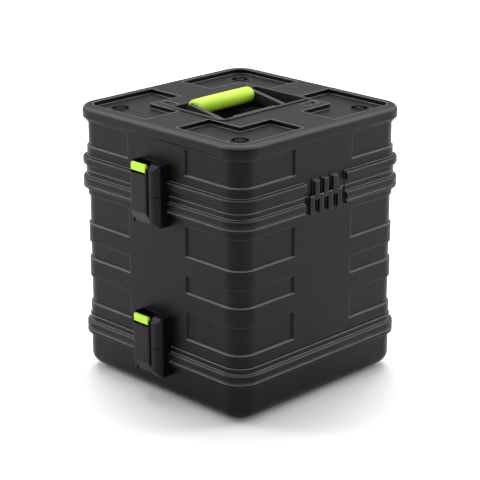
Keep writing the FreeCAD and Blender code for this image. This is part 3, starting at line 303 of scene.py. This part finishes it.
def moulded_nylon(name, dark, light):
    """Glass-filled nylon between two tones: a fibre mottle in tone, gloss and relief, and soft edges."""
    material, tree, shader, where = open_material(name, {"Specular IOR Level": 0.17})
    fibre = noise(tree, where, 0.0030, 4.0, distortion=0.8)
    paint(tree, shader, fibre, dark, light)
    roughen(tree, shader, fibre, 0.30, 0.46)
    emboss(tree, shader, fibre, 0.08, 0.0003, rounded(tree, 0.0012, 6))
    return material


nylon = moulded_nylon("black_glass_filled_nylon", "#060607", "#0d0d0e")
dusty_nylon = moulded_nylon("black_glass_filled_nylon_dusty", "#1d1d1e", "#2e2e2f")
hands = {"left": -1, "right": 1}
for hand in hands:
    dress(nylon, f"base_latch_catch_{hand}", f"sleeve_foot_latch_housing_{hand}",
          f"sleeve_latch_catch_{hand}", f"lid_latch_housing_{hand}",
          f"lower_latch_lever_{hand}", f"upper_latch_lever_{hand}")
dress(nylon, "stacking_cups", "badge_plate")
dress(dusty_nylon, "handle_dish")


# Pins, hinges, rails and stays: zinc-plated steel, bright grey with a faint bluish bloom. Its sheets
# and rods are drawn, which leaves fine lines along them.

def stretched(tree, where, *waves):
    """Coordinates scaled apart along X, Y and Z, for a grain that runs one way."""
    return node(tree, "Mapping", {"Vector": where, "Scale": waves}).outputs["Vector"]


steel, tree, shader, where = open_material("zinc_plated_steel_drawn", {"Metallic": 1.0})
drawn = noise(tree, stretched(tree, where, 60.0, 1400.0, 1400.0), 1.0, 2.0)
paint(tree, shader, noise(tree, where, 0.012, 5.0), "#929496", "#b1b2b1")
roughen(tree, shader, drawn, 0.26, 0.44)
emboss(tree, shader, drawn, 0.10, 0.0002)
dress(steel, "lower_latch_pins", "upper_latch_pins", "lower_catch_bars", "upper_catch_bars",
      "rack_hinge_wall_leaf", "rack_hinge_pin", "rack_hinge_leaf", "handle_pin",
      "frame_hinge_leaves", "door_hinge_leaves", "door_hinge_pins",
      "stay_left", "stay_right", "stay_screw_left", "stay_screw_right", "rail_left", "rail_right")


# Carry grip: a lime rubber sleeve moulded over the steel rod of the bail, slightly barrelled, with
# rounded ends and shallow finger flutes underneath. It lies in a black dish when it is folded.

def grid_faces(rows, columns, wrap_rows=False, wrap_columns=False):
    """Quads between the neighbours of a grid whose corners are numbered row by row."""
    i, j = np.meshgrid(np.arange(rows - (not wrap_rows)), np.arange(columns - (not wrap_columns)),
                       indexing="ij")
    here, below, along = i * columns, (i + 1) % rows * columns, (j + 1) % columns
    return np.stack([here + j, here + along, below + along, below + j], -1).reshape(-1, 4).tolist()


def turned(name, centre, x, radius, material):
    """A closed piece round a line along X: corner = centre + (x, r cos a, r sin a), with a row of
    radii at each x."""
    angle = around(radius.shape[1])
    grid = np.stack([centre[0] + np.broadcast_to(x[:, None], radius.shape),
                     centre[1] + radius * np.cos(angle), centre[2] + radius * np.sin(angle)], -1)
    return make_piece(name, grid, grid_faces(*radius.shape, True, True), material)


low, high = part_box("handle_grip")
grip_mid, grip_half, grip_radius = middle(low, high), (high.x - low.x) / 2, (high.z - low.z) / 2
rod_radius, end_round, flute_deep, flute_pitch = 0.0062, 0.0035, 0.0005, 0.0085


def grip_profile(steps=72, turns=96):
    """Places and radii: radius = R (0.94 + 0.06 (1 - |t|^4)) with quarter-round ends, closed down the
    bore, and a row of flutes that fade out near the ends and over the upper half."""
    t = np.linspace(-1, 1, steps)
    into = np.clip((np.abs(t) * grip_half - (grip_half - end_round)) / end_round, 0, 1)
    barrel = grip_radius * (0.94 + 0.06 * (1 - np.abs(t) ** 4))
    outer = barrel - end_round * (1 - np.sqrt(1 - into ** 2))
    x = np.concatenate([t, t[::-1]]) * grip_half
    radius = np.concatenate([outer, np.full(steps, rod_radius)])[:, None]
    fluted = np.concatenate([np.clip((0.9 - np.abs(t)) / 0.1, 0, 1), np.zeros(steps)])[:, None]
    under = np.clip(0.5 - np.sin(around(turns)), 0, 1)
    flutes = flute_deep * (0.5 + 0.5 * np.cos(x[:, None] * 2 * math.pi / flute_pitch))
    return x, radius - flutes * fluted * under


lime_rubber, tree, shader, where = open_material("lime_rubber_grip_moulded")
pores = noise(tree, where, 0.0011, 2.0)
paint(tree, shader, noise(tree, where, 0.02, 4.0), "#afe01c", "#c6f03e")
roughen(tree, shader, pores, 0.45, 0.62)
emboss(tree, shader, pores, 0.12, 0.0002)
grip = turned("lime_grip", grip_mid, *grip_profile(), lime_rubber)
fix(grip, "handle", "lime_grip", "handle_grip")

# The spring on the handle's pin runs in a ribbed rubber cover between the bail's arms.
low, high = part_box("handle_spring_cover")
cover_mid, cover_half = middle(low, high), (high.x - low.x) / 2
cover_ribs, rib_crown, rib_foot, cover_bore = 10, 0.0095, 0.0068, 0.0033


def cover_profile(steps=121, turns=48):
    """Places and radii: radius = foot + (crown - foot) |sin(pi n u)|^(1/2) for n ribs, closed down
    the bore."""
    u = np.linspace(0, 1, steps)
    outer = rib_foot + (rib_crown - rib_foot) * np.sqrt(np.abs(np.sin(math.pi * cover_ribs * u)))
    x = cover_half * (2 * np.concatenate([u, u[::-1]]) - 1)
    radius = np.concatenate([outer, np.full(steps, cover_bore)])
    return x, np.repeat(radius[:, None], turns, axis=1)


cover = turned("spring_cover_ribs", cover_mid, *cover_profile(), rubber)
fix(cover, "lid", "black_rubber", "handle_spring_cover")

# Four small screws hold the dish in the lid's top.
low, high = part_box("dish_screws")
screw_radius = 0.0014
dish_spots = [(x * (high.x - screw_radius), y * (high.y - screw_radius), low.z)
              for x in (-1, 1) for y in (-1, 1)]
dish_heads = heads("dish_screw_heads", dish_spots, (0, 0, 1),
                   (screw_radius, high.z - low.z), black_coat)
fix(dish_heads, "lid", "black_steel", "dish_screws")


# Lid compartment: a black-stained plywood door in a frame inside the lid's mouth. Its lower face is
# covered with charcoal needle-felt carpet, glued down and trimmed flush with the door's edge.
plywood, tree, shader, where = open_material("black_stained_plywood")
veins = noise(tree, stretched(tree, where, 25.0, 260.0, 260.0), 1.0, 5.0, distortion=0.6)
paint(tree, shader, veins, "#151311", "#2a2622")
roughen(tree, shader, veins, 0.50, 0.68)
emboss(tree, shader, veins, 0.2, 0.0004)
dress(plywood, "door_board", "door_frame")

felt, tree, shader, where = open_material("charcoal_needle_felt_carpet", {
    "Roughness": 0.95, "Specular IOR Level": 0.10, "Sheen Weight": 0.08, "Sheen Roughness": 0.6})
loops = node(tree, "TexVoronoi", {"Vector": where, "Scale": 1 / 0.0028})
tufts = noise(tree, where, 0.0016, 5.0, roughness=0.75)
pile = arithmetic(tree, "MULTIPLY_ADD", loops.outputs["Distance"], tufts, 0.15)
paint(tree, shader, tufts, "#0a0a0b", "#252527")
emboss(tree, shader, pile, 0.8, 0.0012)

low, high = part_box("door_carpet")
door_half, door_corner = (high.x - low.x) / 2, 0.0165
carpet_low, carpet_thick, carpet_trim = low.z, high.z - low.z, 0.0004
carpet_steps, pile_high = 160, 0.00022


def rounded_square(half, corner, count):
    """Square grid drawn in to round corners: past the corner's centre, a point's distance is scaled
    by its larger offset over its length, which turns the square's corner into an arc."""
    line = np.linspace(-half, half, count)
    x, y = np.meshgrid(line, line, indexing="ij")
    past_x, past_y = np.abs(x) - (half - corner), np.abs(y) - (half - corner)
    both = (past_x > 0) & (past_y > 0)
    far = np.where(both, np.hypot(past_x, past_y), 1.0)
    pull = np.where(both, np.maximum(past_x, past_y) / far, 1.0)
    new_x = np.where(both, half - corner + past_x * pull, np.abs(x)) * np.sign(x)
    new_y = np.where(both, half - corner + past_y * pull, np.abs(y)) * np.sign(y)
    return new_x, new_y


def carpet_surface():
    """Pile on the square: height = h sin(2100 x + 3 sin(640 y)) sin(1900 y + 2 sin(730 x))."""
    x, y = rounded_square(door_half - carpet_trim, door_corner, carpet_steps)
    wave = np.sin(x * 2100 + 3 * np.sin(y * 640)) * np.sin(y * 1900 + 2 * np.sin(x * 730))
    return np.stack([x, y, carpet_low + carpet_trim + pile_high * wave], -1)


carpet = make_piece("carpet_facing", carpet_surface(), grid_faces(carpet_steps, carpet_steps), felt)
backing = carpet.modifiers.new("backing", "SOLIDIFY")
backing.thickness, backing.offset = carpet_thick - 2 * carpet_trim, -1.0
fix(carpet, "door", "carpet", "door_carpet")

chrome, tree, shader, where = open_material("bright_chrome_plate", {"Metallic": 1.0})
haze = noise(tree, where, 0.008, 5.0)
paint(tree, shader, haze, "#d2d3d4", "#e6e6e6")
roughen(tree, shader, haze, 0.06, 0.16)
dress(chrome, "twist_latch_plate", "twist_latch_wing", "twist_latch_keeper")

# Pan-head screws hold the hinge leaves and the twist latch to the plywood. The sizes of screws and
# rivets here and below are a head's radius and height.
leaf_screw, frame_screw, plate_screw = (0.0026, 0.0011), (0.0016, 0.0008), (0.0019, 0.0008)
low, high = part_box("door_hinge_leaves")
leaf_face, leaf_half, leaf_inset, leaf_pitch = 0.2995, 0.020, 0.0065, 0.013
leaf_mid = high.y - leaf_half
leaf_spots = [(low.x + leaf_inset, end * leaf_mid + step * leaf_pitch, leaf_face)
              for end in (-1, 1) for step in (-1, 0, 1)]
leaf_heads = heads("door_leaf_screws", leaf_spots, (0, 0, -1), leaf_screw, steel)
fix(leaf_heads, "door", "steel")

low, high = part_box("frame_hinge_leaves")
frame_inset, frame_pitch = 0.0019, 0.0155
frame_spots = [(high.x - frame_inset, end * leaf_mid + step * frame_pitch, leaf_face)
               for end in (-1, 1) for step in (-1, 1)]
frame_heads = heads("frame_leaf_screws", frame_spots, (0, 0, -1), frame_screw, steel)
fix(frame_heads, "lid", "steel")

low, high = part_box("twist_latch_plate")
plate_x, reach_x, reach_y = (low.x + high.x) / 2, 0.008, 0.012
plate_spots = [(plate_x + x * reach_x, y * reach_y, low.z) for x in (-1, 1) for y in (-1, 1)]
plate_heads = heads("twist_plate_screws", plate_spots, (0, 0, -1), plate_screw, chrome)
fix(plate_heads, "door", "chrome")


# Pull tab: a short grey leather strap held by one domed rivet near the door's front free corner. It
# is a little crowned across, and a row of stitches runs round its edge.
low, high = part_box("pull_tab")
tab_mid, tab_low, tab_crown = middle(low, high), low.z, 0.0003
tab_half_x, tab_half_y, tab_thick = (high.x - low.x) / 2, (high.y - low.y) / 2, high.z - low.z


def strap_surface(steps=60, across=24):
    """Strap: half width w(t) = W (1 - |t|^8)^(1/8), crowned by the square of the way across."""
    t = np.linspace(-0.999, 0.999, steps)[:, None]
    side = np.linspace(-1, 1, across)[None, :]
    x = np.broadcast_to(tab_mid[0] + tab_half_x * t, (steps, across))
    y = tab_mid[1] + tab_half_y * (1 - np.abs(t) ** 8) ** 0.125 * side
    z = np.broadcast_to(tab_low + tab_crown * (1 + side ** 2), (steps, across))
    return np.stack([x, y, z], -1)


leather, tree, shader, where = open_material("grey_leather_strap")
crease = node(tree, "TexVoronoi", {"Vector": where, "Scale": 1 / 0.0022}, feature="DISTANCE_TO_EDGE")
wear = noise(tree, where, 0.007, 5.0)
paint(tree, shader, wear, "#58595b", "#7b7c7e")
roughen(tree, shader, wear, 0.42, 0.66)
emboss(tree, shader, crease.outputs["Distance"], 0.35, 0.0004)
tab_grid = strap_surface()
strap = make_piece("pull_strap", tab_grid, grid_faces(*tab_grid.shape[:2]), leather)
hide = strap.modifiers.new("thickness", "SOLIDIFY")
hide.thickness, hide.offset = tab_thick - 2 * tab_crown, -1.0
fix(strap, "door", "tab", "pull_tab")

low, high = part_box("pull_tab_rivet")
rivet_mid = middle(low, high)
rivet = heads("pull_rivet_dome", [(rivet_mid[0], rivet_mid[1], high.z)], (0, 0, -1),
              ((high.x - low.x) / 2, high.z - low.z), chrome, cross=0.0)
fix(rivet, "door", "chrome", "pull_tab_rivet")

stitch_half, stitch_radius, stitch_sunk = 0.0011, 0.00035, 0.0004


def stitch_row(count=44, inset=0.0022, look_ahead=0.0004):
    """Middles and directions at even steps of length along a superellipse inside the strap's edge."""
    a, b = superellipse(np.linspace(0, 2 * math.pi, 1440))
    path = np.stack([(tab_half_x - inset) * a, (tab_half_y - inset) * b], -1)
    run = np.append(0, np.cumsum(np.hypot(*np.diff(path, axis=0).T)))
    at = (np.arange(count) + 0.5) * run[-1] / count
    spots, ahead = (np.stack([np.interp(length, run, line) for line in path.T], -1)
                    for length in (at, at + look_ahead))
    return spots, (ahead - spots) / np.linalg.norm(ahead - spots, axis=1, keepdims=True)


def stitch(rings=5, turns=8):
    """Skin and faces of one stitch: an oval turned round its length."""
    lat, lon = np.linspace(0, math.pi, rings + 2)[1:-1, None], around(turns)
    grid = np.stack([np.sin(lat) * np.cos(lon), np.sin(lat) * np.sin(lon),
                     np.broadcast_to(np.cos(lat), (rings, turns))], -1).reshape(-1, 3)
    size = (stitch_radius, stitch_radius, stitch_half)
    return np.concatenate([[[0, 0, 1]], grid, [[0, 0, -1]]]) * size, closed_faces(rings, turns)


thread, tree, shader, where = open_material("grey_bonded_thread_twisted")
twist = noise(tree, where, 0.0005, 3.0)
paint(tree, shader, twist, "#8f9092", "#b9babb")
roughen(tree, shader, twist, 0.55, 0.75)
spots, along = stitch_row()
level = np.zeros(len(spots))
across = np.stack([-along[:, 1], along[:, 0], level], -1)
ahead = np.stack([along[:, 0], along[:, 1], level], -1)
frames = np.stack([across, np.cross(ahead, across), ahead], 1)
places = np.stack([tab_mid[0] + spots[:, 0], tab_mid[1] + spots[:, 1],
                   level + tab_low + stitch_sunk], -1)
seam = scatter("strap_stitches", *stitch(), places, frames, thread)
fix(seam, "door", "tab")


# Rack: a hoop bent from a ridged aluminium extrusion and anodised clear, with drawn lines that run
# round the hoop and a soft satin face.
aluminium, tree, shader, where = open_material("clear_anodised_aluminium_extrusion", {"Metallic": 1.0})
drawn = noise(tree, stretched(tree, where, 30.0, 1500.0, 30.0), 1.0, 3.0)
paint(tree, shader, drawn, "#a3a5a7", "#bdbebf")
roughen(tree, shader, drawn, 0.28, 0.42)
emboss(tree, shader, drawn, 0.08, 0.0002, rounded(tree, 0.0006, 4))
dress(aluminium, "rack_frame")

# Domed rivets through the hoop hold the rails, and others hold the hinge leaf under it.
low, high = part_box("rack_frame")
hoop_y, rail_rivet, rail_rivet_heights = (low.y + high.y) / 2, (0.0028, 0.0011), (0.115, 0.250)
for hand, side in hands.items():
    rail_spots = [(side * high.x, hoop_y, z) for z in rail_rivet_heights]
    rail_heads = heads(f"rail_rivets_{hand}", rail_spots, (side, 0, 0), rail_rivet, steel, cross=0.0)
    fix(rail_heads, "rack", "steel")

low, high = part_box("rack_hinge_rivets")
hinge_long, rivet_shares = 0.175, (-0.375, -0.125, 0.125, 0.375)
rivet_spots = [(share * hinge_long, (low.y + high.y) / 2, high.z) for share in rivet_shares]
leaf_rivets = heads("hinge_leaf_rivets", rivet_spots, (0, 0, -1),
                    ((high.y - low.y) / 2, high.z - low.z), steel, cross=0.0)
fix(leaf_rivets, "rack", "steel", "rack_hinge_rivets")

# Pan-head screws hold the hinge's other leaf to the base's wall, and the stays' brackets to its sides.
low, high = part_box("rack_hinge_wall_leaf")
wall_screw, wall_leaf_thick, wall_screw_z, wall_pitch = (0.0032, 0.0014), 0.002, 0.0655, 0.0375
wall_spots = [(step * wall_pitch, low.y + wall_leaf_thick, wall_screw_z) for step in (-2, -1, 0, 1, 2)]
wall_heads = heads("wall_leaf_screws", wall_spots, (0, 1, 0), wall_screw, steel)
fix(wall_heads, "base", "steel")

bracket_screw, bracket_thick = (0.0022, 0.0010), 0.003
front_in, front_up, rear_in, rear_down = 0.006, 0.005, 0.004, 0.0035
for hand, side in hands.items():
    low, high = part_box(f"stay_bracket_{hand}")
    wall_face = (high.x if side > 0 else low.x) - side * bracket_thick
    bracket_spots = [(wall_face, low.y + front_in, low.z + front_up),
                     (wall_face, high.y - rear_in, high.z - rear_down)]
    bracket_heads = heads(f"stay_bracket_screws_{hand}", bracket_spots, (-side, 0, 0),
                          bracket_screw, black_coat)
    fix(bracket_heads, "base", "black_steel")


# Studio: a plain pale floor that reaches far out in an even pale surround, a broad soft light
# overhead and softer ones at both sides. The camera stands at the height and distance that the
# photograph was taken from.
paper = open_material("pale_studio_paper", {"Base Color": linear("#fafafa"), "Roughness": 0.9})[0]
floor_half, floor_steps = 40.0, 3
floor_line = np.linspace(-floor_half, floor_half, floor_steps)
floor_x, floor_y = np.meshgrid(floor_line, floor_line, indexing="ij")
floor_grid = np.stack([floor_x, floor_y, np.zeros_like(floor_x)], -1)
floor = make_piece("studio_floor", floor_grid, grid_faces(floor_steps, floor_steps), paper)

scene = bpy.context.scene
scene.view_settings.view_transform = "Standard"
scene.world = bpy.data.worlds.new("pale_studio")
scene.world.use_nodes = True
sky = scene.world.node_tree.nodes["Background"]
sky.inputs["Color"].default_value = linear("#f4f5f7")
sky.inputs["Strength"].default_value = 0.58

focus = Vector((0.0, 0.0, 0.190))


def aimed(name, data, azimuth, elevation, distance):
    """A lamp or camera at these angles and this distance from the focus, turned towards it."""
    made = bpy.data.objects.new(name, data)
    turn, rise = math.radians(azimuth), math.radians(elevation)
    back = Vector((math.sin(turn) * math.cos(rise), -math.cos(turn) * math.cos(rise), math.sin(rise)))
    made.location = focus + back * distance
    made.rotation_euler = (-back).to_track_quat("-Z", "Y").to_euler()
    scene.collection.objects.link(made)
    return made


for name, azimuth, elevation, distance, wide, tall, power in (
        ("overhead_softbox", 315, 66, 4.2, 3.6, 3.6, 240.0),
        ("left_softbox", 36, 24, 3.8, 1.2, 3.3, 74.0),
        ("right_softbox", 234, 24, 3.8, 1.2, 3.3, 64.0)):
    light = bpy.data.lights.new(name, "AREA")
    light.shape, light.size, light.size_y, light.energy = "RECTANGLE", wide, tall, power
    aimed(name, light, azimuth, elevation, distance)

lens = bpy.data.cameras.new("photo_camera")
lens.lens, lens.sensor_width = 132.0, 36.0
scene.camera = aimed("photo_camera", lens, azimuth=135, elevation=19, distance=2.5)
